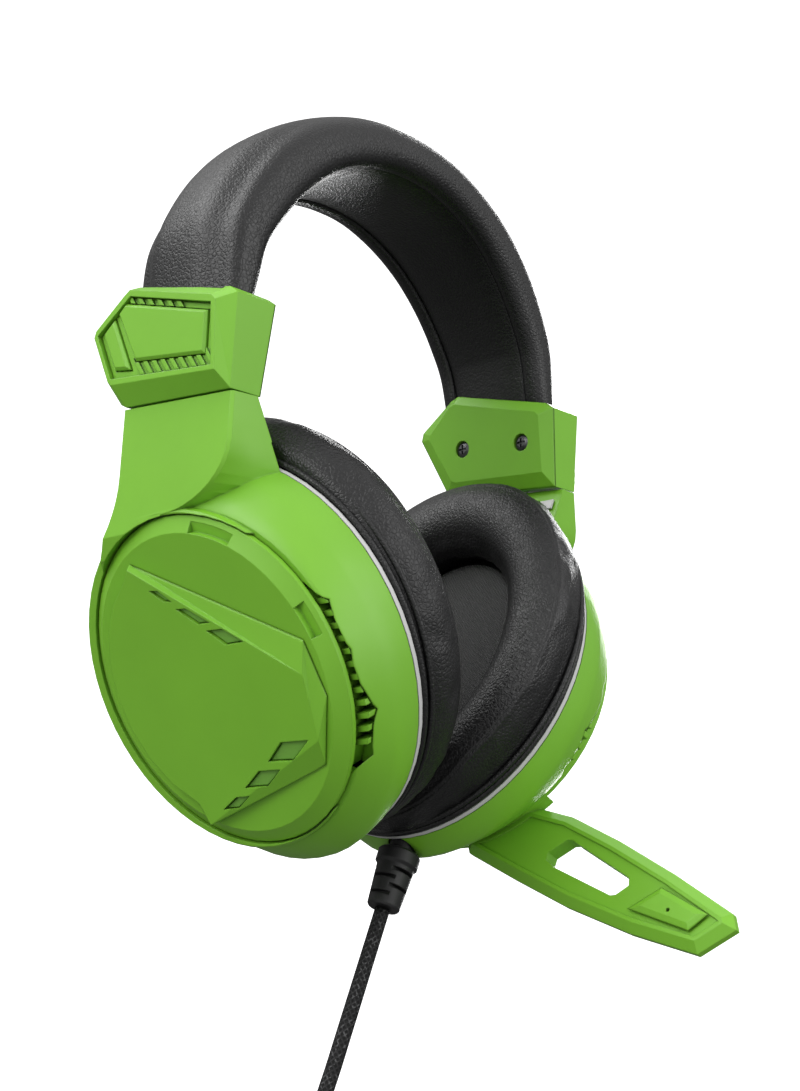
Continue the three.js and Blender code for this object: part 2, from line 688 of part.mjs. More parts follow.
const BOOM = { ringInner: 38.6, back: SEAT + GAP, ringFront: 20.2, inner: 19.7, widest: 21.6, outer: 24.6 };
const BOOM_OUTLINE = [[-22, -30], [-40, -34.2], [-56.8, -41.3], [-75, -50.2], [-92.8, -59.9], [-94.4, -63.8],
  [-85.4, -70.2], [-65.8, -65.8], [-44.8, -59.3], [-26, -52], [-8, -44.6], [-2, -34]];
const BOOM_SLOT = [[-41, -41.5], [-36, -45], [-35.9, -47.2], [-39.3, -49.3], [-58.4, -56.6], [-60, -56.4],
  [-63.2, -53.9], [-62.8, -51.8], [-44, -42.2], [-42.6, -41.4]];
const MIC_FACET = [[-73.4, -55], [-87, -61.2], [-83, -65], [-65.8, -60.2]];
const MIC = { u: -76.9, v: -60.6, radius: 2.2 };

function boomArm() {
  const { ringInner, back, ringFront, inner, widest, outer } = BOOM;
  const ring = turned([[ringInner, back], [DISC_RADIUS, back], [DISC_RADIUS, ringFront - 0.5],
    [DISC_RADIUS - 1, ringFront], [ringInner, ringFront], [ringInner, back]], SIDES.large, 0, DISC_SHIFT);
  const blade = skin([
    standing(offset(BOOM_OUTLINE, -2.4), inner),
    standing(BOOM_OUTLINE, widest),
    standing(BOOM_OUTLINE, outer - 1.4),
    standing(offset(BOOM_OUTLINE, -1.6), outer),
  ]);
  const sector = prism([...arc(ringInner, 222, 270, 6), ...arc(DISC_RADIUS, 270, 222, 6)], back, outer - 1.6);
  const disc = rod(ringInner, -10, 60, 0, DISC_SHIFT, SIDES.large);
  const flat = prism(offset(BOOM_OUTLINE, -3.4), inner - 3, inner + 0.5);
  const outsideRing = flat.subtract(rod(DISC_RADIUS + 1.5, 0, 40, 0, DISC_SHIFT, SIDES.large));
  const slot = prism(BOOM_SLOT, 0, 60);
  const capsuleRoom = rod(MIC.radius + GAP, inner - 1, inner + 3.2, MIC.u, MIC.v, SIDES.bore);
  const blades = blade.add(sector).subtract(disc).subtract(outsideRing);
  return joined([ring, blades]).subtract(slot).subtract(capsuleRoom);
}

function micCover() {
  const base = BOOM.inner - GAP;
  const face = BOOM.inner - 1.1;
  const plate = skin([standing(offset(MIC_FACET, 0.4), base), standing(offset(MIC_FACET, -1.2), face)]);
  return plate.subtract(rod(0.5, 0, 40, MIC.u, MIC.v, SIDES.bore));
}

function micCapsule() {
  return turned([[0, BOOM.inner + 0.6], [MIC.radius, BOOM.inner + 0.6], [MIC.radius, BOOM.inner + 2.9],
    [0, BOOM.inner + 2.9]], SIDES.bore, MIC.u, MIC.v);
}

// ---------------------------------------------------------------- cord

// A turned solid about the Z axis, standing at (x, y). The profile is a list of [radius, z].
function upright(profile, segments, x = 0, y = 0) {
  const points = profile.map(([r, z]) => new THREE.Vector2(r, z));
  return solid(new THREE.LatheGeometry(points, segments).rotateX(Math.PI / 2).translate(x, y, 0));
}

// The rubber sleeve that keeps the cord from kinking, with staggered slots so that it can bend.
function strainRelief() {
  const { top, bottom } = RELIEF;
  const profile = [[0, top + 4], [3.4, top + 4], [3.4, top], [5.4, top], [5.9, top - 0.6], [5.9, top - 3.6],
    [5.2, top - 4.4], [4.5, bottom + 0.6], [4.1, bottom], [0, bottom]];
  const body = upright(profile, SIDES.small, CORD_OUT, 0);
  const slots = [];
  for (let i = 0; i < 4; i++) {
    const z = top - 6 - i * 2.3;
    const core = 2.9;
    const far = 9;
    for (const side of [-1, 1]) {
      const near = side * core;
      const edges = [Math.min(near, side * far), Math.max(near, side * far)];
      const wide = [-far, far];
      const [x0, x1] = i % 2 ? edges : wide;
      const [y0, y1] = i % 2 ? wide : edges;
      slots.push(box(CORD_OUT + x0, CORD_OUT + x1, y0, y1, z - 0.5, z + 0.5));
    }
  }
  return body.subtract(joined(slots));
}

// A tube of the cord's thickness along a smooth curve through the given points.
function cordTube(points, sides, steps, radius = CORD_RADIUS) {
  const section = new THREE.Shape();
  for (let i = 0; i < sides; i++) {
    const angle = (2 * Math.PI * i) / sides;
    const draw = i ? "lineTo" : "moveTo";
    section[draw](radius * Math.cos(angle), radius * Math.sin(angle));
  }
  section.closePath();
  const extrudePath = new THREE.CatmullRomCurve3(points, false, "centripetal");
  return solid(new THREE.ExtrudeGeometry(section, { steps, extrudePath, bevelEnabled: false }));
}

const HANK_TOP = HANK.z + HANK.run / 2 + HANK.turnRadius + (HANK.layers - 0.5) * 2 * CORD_RADIUS + 0.4;
const HANK_THICK = HANK.columns * CORD_RADIUS + 0.5;

// Half the width of the wound hank at a height above its middle: pinched by the tie, round at the ends.
function hankHalfWidth(height) {
  const end = HANK.run / 2;
  const wide = HANK.turnRadius + (HANK.layers - 0.5) * 2 * CORD_RADIUS + 0.4;
  const narrow = HANK.waist + (HANK.layers - 0.5) * 2 * CORD_RADIUS + 0.4;
  const above = Math.abs(height) - end;
  if (above > 0) return Math.sqrt(Math.max(0, wide * wide - above * above));
  return narrow + (wide - narrow) * smooth(Math.abs(height) / end);
}

function cordHank() {
  const reach = HANK_TOP - HANK.z;
  const end = HANK.run / 2;
  const heights = [];
  for (let i = 0; i <= 8; i++) heights.push((end * i) / 8);
  for (let i = 1; i < 7; i++) heights.push(end + (reach - end) * Math.sin((Math.PI / 2) * (i / 7)));
  const upper = heights.map((h) => [hankHalfWidth(h), HANK.z + h]);
  const lower = heights.slice(1).map((h) => [hankHalfWidth(h), HANK.z - h]).reverse();
  const right = [[0, HANK.z - reach], ...lower, ...upper, [0, HANK.z + reach]];
  const left = right.slice(1, -1).map(([y, z]) => [-y, z]).reverse();
  return prism([...right, ...left], HANK.x - HANK_THICK, HANK.x + HANK_THICK);
}

// The hook-and-loop strap round the hank's waist.
function cableTie() {
  const half = 6.5;
  const room = 0.5;
  const y = hankHalfWidth(half) + room;
  const x = HANK_THICK + room;
  const thick = 1.4;
  const block = (sx, sy, sz) => box(HANK.x - sx, HANK.x + sx, -sy, sy, HANK.z - sz, HANK.z + sz);
  return block(x + thick, y + thick, half).subtract(block(x, y, 3 * half));
}

// A point on the cord's own line below the strain relief, from the cup's frame to the upright one.
function onCordLine(v) {
  const cos = Math.cos(CUP_TILT);
  const sin = Math.sin(CUP_TILT);
  return at(CUP_OUT + CORD_OUT * cos + v * sin, 0, v * cos - CORD_OUT * sin);
}

const CORD_ROUTE = [
  onCordLine(RELIEF.bottom - GAP),
  onCordLine(-84),
  onCordLine(-98),
  onCordLine(-112),
  at(-15.2, 0.2, -113.2),
  at(-17, 1.5, -120.6),
  at(-17.6, 3.3, -128),
  at(-17.7, 4.7, HANK_TOP + 2.4),
  at(-17.7, 5.2, HANK_TOP + 0.1),
];

const TAIL = { x: HANK.x + HANK_THICK, y: 5, top: -210.5, plug: -233 };
const TAIL_ROUTE = [
  at(TAIL.x + 2.2, TAIL.y, TAIL.top),
  at(TAIL.x + 3.9, TAIL.y, TAIL.top - 4.5),
  at(TAIL.x + 5.4, TAIL.y, TAIL.top - 9),
  at(TAIL.x + 6.5, TAIL.y, TAIL.top - 13.5),
  at(TAIL.x + 7, TAIL.y, TAIL.top - 18),
  at(TAIL.x + 7, TAIL.y, TAIL.plug + GAP),
];

// A 3.5 mm four-pole plug hanging beside the hank: a sleeved body, and the contact pin below it.
function plugBody() {
  const top = TAIL.plug;
  const profile = [[0, top], [3, top], [3.4, top - 3], [3.4, top - 8], [4.6, top - 9.5], [4.8, top - 11],
    [4.8, top - 24], [4.2, top - 25], [0, top - 25]];
  return upright(profile, SIDES.small, TAIL.x + 7, TAIL.y);
}

function plugTip() {
  const top = TAIL.plug - 25 - GAP;
  const profile = [[0, top], [2.6, top], [2.6, top - 1.2], [1.75, top - 1.2], [1.75, top - 11.2],
    [1.2, top - 12], [1.7, top - 13], [0.6, top - 15.2], [0, top - 15.4]];
  return upright(profile, SIDES.bore, TAIL.x + 7, TAIL.y);
}

// ---------------------------------------------------------------- assembly

function housingGroup(side) {
  const group = new THREE.Group();
  group.add(named(`${side}_slider_housing`, sliderHousing(), GREEN));
  group.add(named(`${side}_housing_cover`, housingInnerCover(), GREEN));
  group.add(named(`${side}_housing_panel`, raisedPanel(MAIN_PANEL), GREEN));
  group.add(named(`${side}_housing_sliver`, raisedPanel(SLIVER), GREEN));
  group.add(named(`${side}_housing_grille`, housingGrille(), GREEN));
  group.add(named(`${side}_screw_front`, coverScrew(SCREWS.front), STEEL_DARK));
  group.add(named(`${side}_screw_rear`, coverScrew(SCREWS.rear), STEEL_DARK));
  group.add(named(`${side}_slider_strip`, sliderStrip(), STEEL_BRIGHT));
  return group;
}

function cupGroup(side, discRadius) {
  const group = new THREE.Group();
  group.position.x = CUP_OUT;
  group.rotation.y = CUP_TILT;
  group.add(named(`${side}_arm_cover`, armInnerCover(), GREEN));
  group.add(named(`${side}_side_badge`, sideBadge(), PALE));
  group.add(named(`${side}_vent_grille`, ventGrille(), GREEN));
  group.add(named(`${side}_trim_ring`, trimRing(), PALE));
  group.add(named(`${side}_outer_disc`, outerDisc(discRadius), GREEN));
  group.add(named(`${side}_shield_panel`, shieldPanel(), GREEN));
  group.add(named(`${side}_light_guide`, lightGuide(), GREEN_GLOSS));
  group.add(named(`${side}_baffle`, baffle(), BLACK));
  group.add(named(`${side}_driver_frame`, driverFrame(), BLACK));
  group.add(named(`${side}_driver_magnet`, driverMagnet(), STEEL_BRIGHT));
  group.add(named(`${side}_driver_diaphragm`, driverDiaphragm(), PALE));
  group.add(named(`${side}_speaker_cloth`, speakerCloth(), CLOTH));
  group.add(named(`${side}_ear_cushion`, earCushion(), LEATHER));
  return group;
}

function reliefHole() {
  return upright([[0, -30], [3.6 + 0.4, -30], [3.6 + 0.4, -70], [0, -70]], SIDES.small, CORD_OUT, 0);
}

function leftSide() {
  const group = new THREE.Group();
  const cup = cupGroup("left", BOOM.ringInner - GAP);
  cup.add(named("left_cup_shell", cupShell().subtract(reliefHole()), GREEN));
  cup.add(named("boom_arm", boomArm(), GREEN));
  cup.add(named("boom_mic_cover", micCover(), GREEN));
  cup.add(named("boom_mic_capsule", micCapsule(), STEEL_DARK));
  cup.add(named("strain_relief", strainRelief(), BLACK));
  group.add(cup, housingGroup("left"));
  group.add(named("cord", cordTube(CORD_ROUTE, 10, 14), BLACK));
  group.add(named("cord_hank", cordHank(), BLACK));
  group.add(named("cord_tail", cordTube(TAIL_ROUTE, 10, 6), BLACK));
  group.add(named("cable_tie", cableTie(), BLACK));
  group.add(named("plug_body", plugBody(), BLACK));
  group.add(named("plug_tip", plugTip(), GOLD));
  return group;
}

function rightSide() {
  const group = new THREE.Group();
  const cup = cupGroup("right", DISC_RADIUS);
  cup.add(named("right_cup_shell", cupShell(), GREEN));
  group.add(cup, housingGroup("right"));
  group.scale.x = -1;
  return group;
}

const headset = new THREE.Group();
headset.position.z = -crownHeight();
headset.add(headband(), leftSide(), rightSide());

export default headset;
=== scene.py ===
"""Looks of the gaming headset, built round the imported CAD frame. Metres, +Z up, the wearer faces -Y."""

import math

import bmesh
import bpy
import numpy as np
from mathutils import Matrix, Vector, noise


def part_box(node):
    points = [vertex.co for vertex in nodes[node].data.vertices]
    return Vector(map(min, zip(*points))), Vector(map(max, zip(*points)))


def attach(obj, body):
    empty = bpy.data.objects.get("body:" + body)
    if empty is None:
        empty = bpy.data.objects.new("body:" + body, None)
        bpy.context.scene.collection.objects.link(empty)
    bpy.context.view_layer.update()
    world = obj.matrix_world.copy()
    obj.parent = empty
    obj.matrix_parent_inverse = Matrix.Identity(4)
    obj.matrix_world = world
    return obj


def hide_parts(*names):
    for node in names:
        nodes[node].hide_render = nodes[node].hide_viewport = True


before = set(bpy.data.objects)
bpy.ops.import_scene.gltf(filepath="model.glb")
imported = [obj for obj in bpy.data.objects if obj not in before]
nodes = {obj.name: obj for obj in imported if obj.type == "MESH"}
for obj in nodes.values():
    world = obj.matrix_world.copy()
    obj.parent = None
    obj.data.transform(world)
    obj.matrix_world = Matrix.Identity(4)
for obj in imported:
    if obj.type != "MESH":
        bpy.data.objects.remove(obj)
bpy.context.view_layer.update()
scene = bpy.context.scene

# ---------------------------------------------------------------- the frame's own dimensions

MM = 0.001
STRIP_BOTTOM = 41.0  # height of the slider strips' lower end above the line between the ear cups
CROWN = STRIP_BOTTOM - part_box("left_slider_strip")[0].z / MM
CUP_OUT = 34.7  # from the middle plane out to the origin of an ear cup's own frame
TILT = math.radians(25.4)  # lean of an ear cup's own frame, its top outwards


def row_point(x, y, z):
    """A point of the upright frame between the cups, given in millimetres, in the row frame."""
    return Vector((x, y, z - CROWN)) * MM


def cup_point(sign, n, u, v):
    """A point of an ear cup's own frame (out of the ear, to the rear, up), in the row frame."""
    x = CUP_OUT + n * math.cos(TILT) + v * math.sin(TILT)
    return row_point(sign * x, u, v * math.cos(TILT) - n * math.sin(TILT))


def smooth(t):
    t = min(1.0, max(0.0, t))
    return t * t * (3 - 2 * t)


# ---------------------------------------------------------------- camera

LENS = 48.75
NEAREST = 0.01

camera_data = bpy.data.cameras.new("camera")
camera_data.lens = LENS
camera_data.clip_start = NEAREST
camera = bpy.data.objects.new("camera", camera_data)
place = row_point(-288.7, -272.3, -48.8)
back = Vector((-0.7294, -0.6535, -0.2021)).normalized()
roughly_right = Vector((0.6673, -0.7448, 0.0))
above = back.cross(roughly_right).normalized()
right = above.cross(back)
camera.matrix_world = Matrix(
    [(right[i], above[i], back[i], place[i]) for i in range(3)] + [(0, 0, 0, 1)]
)
scene.collection.objects.link(camera)
scene.camera = camera

# ---------------------------------------------------------------- material nodes


class Paint:
    """A material's node tree, with short calls for the nodes used here."""

    def __init__(self, name, colour, roughness, metallic=0.0, specular=0.5):
        self.material = bpy.data.materials.new(name)
        self.material.use_nodes = True
        self.tree = self.material.node_tree
        self.shader = self.tree.nodes["Principled BSDF"]
        self.set("Base Color", (*colour, 1))
        self.set("Roughness", roughness)
        self.set("Metallic", metallic)
        self.set("Specular IOR Level", specular)

    def set(self, socket, value):
        self.shader.inputs[socket].default_value = value

    def link(self, a, b):
        self.tree.links.new(a, b)

    def add(self, kind, **inputs):
        node = self.tree.nodes.new("ShaderNode" + kind)
        for key, value in inputs.items():
            socket = node.inputs[key.replace("_", " ")]
            if isinstance(value, bpy.types.NodeSocket):
                self.link(value, socket)
            else:
                socket.default_value = value
        return node

    def place(self, output="Object"):
        return self.add("TexCoord").outputs[output]

    def noise(self, scale, detail=3.0, vector=None):
        node = self.add("TexNoise", Scale=scale, Detail=detail, Roughness=0.55)
        self.link(vector or self.place(), node.inputs["Vector"])
        return node.outputs["Fac"]

    def cells(self, scale, feature, vector):
        node = self.tree.nodes.new("ShaderNodeTexVoronoi")
        node.feature = feature
        node.inputs["Scale"].default_value = scale
        self.link(vector, node.inputs["Vector"])
        return node.outputs["Distance"]

    def math(self, operation, *values):
        node = self.tree.nodes.new("ShaderNodeMath")
        node.operation = operation
        for socket, value in zip(node.inputs, values):
            if isinstance(value, bpy.types.NodeSocket):
                self.link(value, socket)
            else:
                socket.default_value = value
        return node.outputs[0]

    def remap(self, value, low, high, to_low, to_high):
        node = self.tree.nodes.new("ShaderNodeMapRange")
        for key, number in (("From Min", low), ("From Max", high), ("To Min", to_low), ("To Max", to_high)):
            node.inputs[key].default_value = number
        self.link(value, node.inputs["Value"])
        return node.outputs["Result"]

    def mix(self, factor, a, b):
        node = self.tree.nodes.new("ShaderNodeMix")
        node.data_type = "RGBA"
        self.link(factor, node.inputs["Factor"])
        for socket, value in ((node.inputs[6], a), (node.inputs[7], b)):
            if isinstance(value, bpy.types.NodeSocket):
                self.link(value, socket)
            else:
                socket.default_value = (*value, 1)
        return node.outputs[2]

    def painted_crevice_shade(self, reach, darkest):
        """Painted shade: how open the surface is within this reach in millimetres. Grooves and gaps come out
        darker in colour, as if shaded.
        """
        node = self.tree.nodes.new("ShaderNodeAmbientOcclusion")
        node.samples = 4
        node.inputs["Distance"].default_value = reach * MM
        return self.remap(node.outputs["AO"], 0.25, 0.8, darkest, 1)

    def rounded(self, radius):
        """The normal of an edge eased to this radius in millimetres, as a mould leaves it."""
        node = self.tree.nodes.new("ShaderNodeBevel")
        node.samples = 4
        node.inputs["Radius"].default_value = radius * MM
        return node.outputs["Normal"]

    def bump(self, height, strength, distance, normal=None):
        node = self.add("Bump", Height=height, Strength=strength, Distance=distance)
        if normal is not None:
            self.link(normal, node.inputs["Normal"])
        return node.outputs["Normal"]

    def finish(self, colour=None, roughness=None, normal=None):
        if colour is not None:
            self.link(colour, self.shader.inputs["Base Color"])
        if roughness is not None:
            self.link(roughness, self.shader.inputs["Roughness"])
        if normal is not None:
            self.link(normal, self.shader.inputs["Normal"])
        return self.material


def scaled(colour, factor):
    return tuple(min(1.0, c * factor) for c in colour)


def moulded(name, colour, roughness, spread=0.05, grain=0.12, crevice_shade=0.6):
    """Injection-moulded plastic: a fine spark-eroded grain, slight changes of tone and gloss, and painted
    shade that darkens the colour in grooves and gaps.
    """
    paint = Paint(name, colour, roughness)
    cloudy = paint.noise(38, 4)
    fine = paint.noise(2600, 2)
    tone = paint.mix(paint.remap(cloudy, 0.3, 0.7, 0, 1), scaled(colour, 0.965), scaled(colour, 1.03))
    # painted shade: in grooves and gaps the colour is darkened towards the given share of itself
    tone = paint.mix(paint.painted_crevice_shade(2.2, 0.0), scaled(colour, crevice_shade), tone)
    gloss = paint.remap(paint.noise(160, 3), 0.3, 0.7, roughness - spread, roughness + spread)
    normal = paint.bump(fine, grain, 0.00006, paint.rounded(0.4))
    return paint.finish(tone, gloss, normal)


def leatherette(name, colour, grain=1.0):
    """Grained protein leather: pebbles about a millimetre across with creases between them. The creases are
    painted darker as painted shade and the pebbles lighter.
    """
    wander = 0.8 * MM
    paint = Paint(name, colour, 0.45)
    warp = paint.add("TexNoise", Scale=420.0, Detail=2.0, Vector=paint.place())
    shifted = paint.tree.nodes.new("ShaderNodeVectorMath")
    shifted.operation = "MULTIPLY_ADD"
    paint.link(warp.outputs["Color"], shifted.inputs[0])
    shifted.inputs[1].default_value = (wander, wander, wander)
    paint.link(paint.place(), shifted.inputs[2])
    where = shifted.outputs[0]
    pebbles = paint.cells(1300, "SMOOTH_F1", where)
    creases = paint.cells(920, "DISTANCE_TO_EDGE", where)
    crease = paint.remap(creases, 0.0, 0.22, 0, 1)
    height = paint.math("MULTIPLY_ADD", crease, 0.8, paint.math("SUBTRACT", 1.0, pebbles))
    pores = paint.noise(3800, 2)
    # painted shade in the creases and painted light on the pebbles: the colour follows the grain's height
    tone = paint.mix(crease, scaled(colour, 0.72), scaled(colour, 1.08))
    cloudy = paint.noise(55, 3)
    shine = paint.math("ADD", cloudy, paint.math("MULTIPLY", crease, -0.15))
    gloss = paint.remap(shine, 0.1, 0.75, 0.32, 0.46)
    normal = paint.bump(height, 0.45 * grain, 0.0002)
    normal = paint.bump(pores, 0.1 * grain, 0.00004, normal)
    return paint.finish(tone, gloss, normal)


def woven(name, colour, pitch):
    """Plain weave of threads a pitch apart along the row frame's Y and Z. It is painted darker where the
    weave is low and lighter where it is high, as painted shade and highlight.
    """
    paint = Paint(name, colour, 0.9, specular=0.25)
    split = paint.add("SeparateXYZ", Vector=paint.place())
    across = paint.math("MULTIPLY", split.outputs["Y"], 2 * math.pi / pitch)
    upwards = paint.math("MULTIPLY", split.outputs["Z"], 2 * math.pi / pitch)
    weave = paint.math("MULTIPLY", paint.math("SINE", across), paint.math("SINE", upwards))
    level = paint.remap(weave, -1, 1, 0, 1)
    fuzz = paint.noise(2200, 3)
    # painted shade in the weave's hollows and painted highlight on the thread tops
    tone = paint.mix(level, scaled(colour, 0.8), scaled(colour, 1.12))
    normal = paint.bump(level, 0.6, 0.00025)
    normal = paint.bump(fuzz, 0.2, 0.0001, normal)
    return paint.finish(tone, paint.remap(fuzz, 0.2, 0.8, 0.82, 0.95), normal)


def braided(name, colour, fleck):
    """A braided jacket, its strands painted dark in the valleys and light on the crests as painted shade and
    highlight. Its map runs once round the cord in U, and V counts diameters along it.
    """
    strands_round = 8
    strands_along = 2.4
    paint = Paint(name, colour, 0.62, specular=0.35)
    split = paint.add("SeparateXYZ", Vector=paint.place("UV"))
    turn = paint.math("MULTIPLY", split.outputs[0], strands_round * 2 * math.pi)
    run = paint.math("MULTIPLY", split.outputs[1], strands_along * 2 * math.pi)
    leaning_left = paint.math("SINE", paint.math("ADD", turn, run))
    leaning_right = paint.math("SINE", paint.math("SUBTRACT", turn, run))
    height = paint.math("MAXIMUM", leaning_left, leaning_right)
    level = paint.remap(height, -0.6, 1, 0, 1)
    spots = paint.noise(900, 2)
    chosen = paint.remap(spots, 0.565, 0.62, 0, 1)
    pale = paint.math("MULTIPLY", chosen, paint.remap(height, 0.3, 0.8, 0, 1))
    # painted shade in the valleys between strands and painted highlight on their crests
    strands_with_painted_shade = paint.mix(level, scaled(colour, 0.35), scaled(colour, 1.4))
    tone = paint.mix(pale, strands_with_painted_shade, fleck)
    normal = paint.bump(level, 0.7, 0.0003)
    return paint.finish(tone, paint.remap(level, 0, 1, 0.75, 0.5), normal)


def brushed(name, colour, roughness):
    """Metal with fine drawn lines, stacked along the row frame's Z."""
    paint = Paint(name, colour, roughness, metallic=1.0)
    mapping = paint.add("Mapping", Vector=paint.place(), Scale=(60, 60, 1400))
    lines = paint.noise(1.0, 4, mapping.outputs["Vector"])
    tone = paint.mix(lines, scaled(colour, 0.86), scaled(colour, 1.08))
    gloss = paint.remap(lines, 0.3, 0.7, roughness - 0.08, roughness + 0.1)
    return paint.finish(tone, gloss, paint.bump(lines, 0.12, 0.00004))


GREEN_TONE = (0.195, 0.495, 0.03)
green = moulded("green_plastic", GREEN_TONE, 0.4)
# the same green plastic, with much deeper painted shade in the grilles' gaps
grille_green_painted_shade = moulded("grille_green_painted_shade", GREEN_TONE, 0.42, crevice_shade=0.12)
window_green = moulded("window_green", (0.17, 0.4, 0.055), 0.22, 0.03, 0.04)
pale_plastic = moulded("pale_plastic", (0.62, 0.62, 0.61), 0.42)
black_plastic = moulded("black_plastic", (0.012, 0.012, 0.013), 0.5)
black_rubber = moulded("black_rubber", (0.011, 0.011, 0.0115), 0.55, 0.06, 0.3)
film = moulded("clear_film", (0.42, 0.42, 0.4), 0.25)
leather = leatherette("leatherette", (0.0078, 0.0078, 0.0082))
pad_leather = leatherette("pad_leatherette", (0.0085, 0.0085, 0.009), 0.8)
speaker_fabric = woven("speaker_fabric", (0.07, 0.07, 0.07), 0.0009)
strap_fabric = woven("strap_fabric", (0.016, 0.016, 0.017), 0.0008)
braid = braided("braided_cord", (0.005, 0.005, 0.0053), (0.07, 0.07, 0.072))
dark_steel = brushed("dark_steel", (0.13, 0.13, 0.135), 0.4)
bright_steel = brushed("bright_steel", (0.6, 0.61, 0.62), 0.3)
gold = brushed("gold_contact", (0.83, 0.62, 0.27), 0.22)

# ---------------------------------------------------------------- mesh helpers


def new_piece(name, points, faces, material):
    mesh = bpy.data.meshes.new(name)
    mesh.from_pydata([tuple(p) for p in points], [], faces)
    mesh.validate()
    mesh.materials.append(material)
    mesh.polygons.foreach_set("use_smooth", [True] * len(mesh.polygons))
    piece = bpy.data.objects.new(name, mesh)
    scene.collection.objects.link(piece)
    return piece


def grid_faces(rows, columns, close_rows=False):
    """The faces of a skin of closed rings, one after the other, that may close on its first ring again."""
    faces = []
    for i in range(rows if close_rows else rows - 1):
        for j in range(columns):
            a = i * columns + j
            b = i * columns + (j + 1) % columns
            c = ((i + 1) % rows) * columns + (j + 1) % columns
            d = ((i + 1) % rows) * columns + j
            faces.append((a, b, c, d))
    return faces


def fix_normals(piece):
    mesh = bmesh.new()
    mesh.from_mesh(piece.data)
    bmesh.ops.recalc_face_normals(mesh, faces=mesh.faces)
    mesh.to_mesh(piece.data)
    mesh.free()


def subdivide(piece):
    modifier = piece.modifiers.new("subdivision", "SUBSURF")
    modifier.levels = 1
    modifier.render_levels = 1


def stretch_between(p0, p1, p2, p3, steps):
    """Points of the smooth curve from p1 up to p2, where p0 and p3 are the corners before and after."""
    for step in range(steps):
        t = step / steps
        yield 0.5 * (2 * p1 + (p2 - p0) * t + (2 * p0 - 5 * p1 + 4 * p2 - p3) * t * t
                     + (3 * p1 - 3 * p2 + p3 - p0) * t ** 3)


def lengths_along(dense):
    steps = np.linalg.norm(np.diff(dense, axis=0), axis=1)
    return np.concatenate([[0], np.cumsum(steps)])


def at_lengths(wanted, lengths, dense):
    return np.stack([np.interp(wanted, lengths, column) for column in dense.T], 1)


def closed_curve(corners, count):
    """Points evenly spread along a smooth closed curve through the corners."""
    corners = [np.array(c, float) for c in corners]
    dense = []
    for i in range(len(corners)):
        dense.extend(stretch_between(*(corners[(i + k - 1) % len(corners)] for k in range(4)), steps=8))
    dense = np.array([*dense, dense[0]])
    lengths = lengths_along(dense)
    return at_lengths(np.linspace(0, lengths[-1], count, endpoint=False), lengths, dense)


CLOTH_SCALE = 10.0  # the cloth solver is steadier on a shape that isn't tiny
CLOTH_PRESSURE = 4.0
CLOTH_FRAMES = 20


def inflated(points, faces, pinned, cap, slack):
    """The padded shape that a closed cloth skin takes under pressure, capped at so many millimetres."""
    mesh = bpy.data.meshes.new("cloth")
    mesh.from_pydata([tuple(Vector(p) * CLOTH_SCALE) for p in points], [], faces)
    body = bpy.data.objects.new("cloth", mesh)
    scene.collection.objects.link(body)
    group = body.vertex_groups.new(name="held")
    group.add(pinned, 1.0, "REPLACE")
    modifier = body.modifiers.new("Cloth", "CLOTH")
    settings = modifier.settings
    settings.quality = 5
    settings.mass = 0.3
    settings.vertex_group_mass = "held"
    settings.use_pressure = True
    settings.uniform_pressure_force = CLOTH_PRESSURE
    settings.effector_weights.gravity = 0
    settings.shrink_min = -slack
    settings.bending_stiffness = 0.3
    modifier.collision_settings.use_collision = False
    scene.frame_start = 1
    scene.frame_end = CLOTH_FRAMES
    for number in range(1, CLOTH_FRAMES + 1):
        scene.frame_set(number)
    found = body.evaluated_get(bpy.context.evaluated_depsgraph_get())
    moved = []
    for start, vertex in zip(points, found.data.vertices):
        step = vertex.co / CLOTH_SCALE - Vector(start)
        if step.length > cap * MM:
            step *= cap * MM / step.length
        moved.append(Vector(start) + step)
    scene.frame_set(1)
    bpy.data.objects.remove(body)
    return moved


# ---------------------------------------------------------------- cord

CORD_RADIUS = 2.1
CORD_OUT = 3.6  # the cord leaves the left cup this far out along the cup's own axis
RELIEF_BOTTOM = -69.0
GAP = 0.3
# The hank's runs stand upright and end in half turns, of the inner layer's radius and one diameter more.
HANK = {"x": -24.0, "z": -193.0, "run": 80.0, "turn": 12.6, "waist": 6.3, "columns": 4}
HANK_TOP = HANK["z"] + HANK["run"] / 2 + HANK["turn"] + 3 * CORD_RADIUS + 0.4
HANK_HALF_DEPTH = HANK["columns"] * CORD_RADIUS + 0.5
HANK_RUN_STEPS = 9
HANK_TURN_STEPS = 12
PLUG_TOP = -233.0


def cord_line(v):
    """A point of the straight line on which the cord leaves the strain relief."""
    x = CUP_OUT + CORD_OUT * math.cos(TILT) + v * math.sin(TILT)
    return (x, 0.0, v * math.cos(TILT) - CORD_OUT * math.sin(TILT))


def hank_half(radius, waist, height):
    """Half the width of a layer at a height above the hank's middle, where the tie draws it in."""
    return waist + (radius - waist) * smooth(abs(height) / (HANK["run"] / 2))


def hank_run(x, radius, waist, sign, downwards):
    """One straight run of the hank, which the tie pinches in the middle."""
    end = HANK["run"] / 2
    heights = [end - 2 * end * i / HANK_RUN_STEPS for i in range(HANK_RUN_STEPS)]
    if not downwards:
        heights = [-h for h in heights]
    return [(x, sign * hank_half(radius, waist, h), HANK["z"] + h) for h in heights]


def hank_turn(x0, x1, r0, r1, top):
    """A half turn at one end of the hank. The cord steps aside early in it."""
    way = 1 if top else -1
    centre = HANK["z"] + way * HANK["run"] / 2
    moved_by = 0.62  # share of the turn by which the cord lies in its new column
    points = []
    for i in range(HANK_TURN_STEPS):
        t = i / HANK_TURN_STEPS
        x = x0 + (x1 - x0) * smooth(t / moved_by)
        radius = r0 + (r1 - r0) * smooth(t)
        angle = math.pi * t
        points.append((x, -way * radius * math.cos(angle), centre + way * radius * math.sin(angle)))
    return points


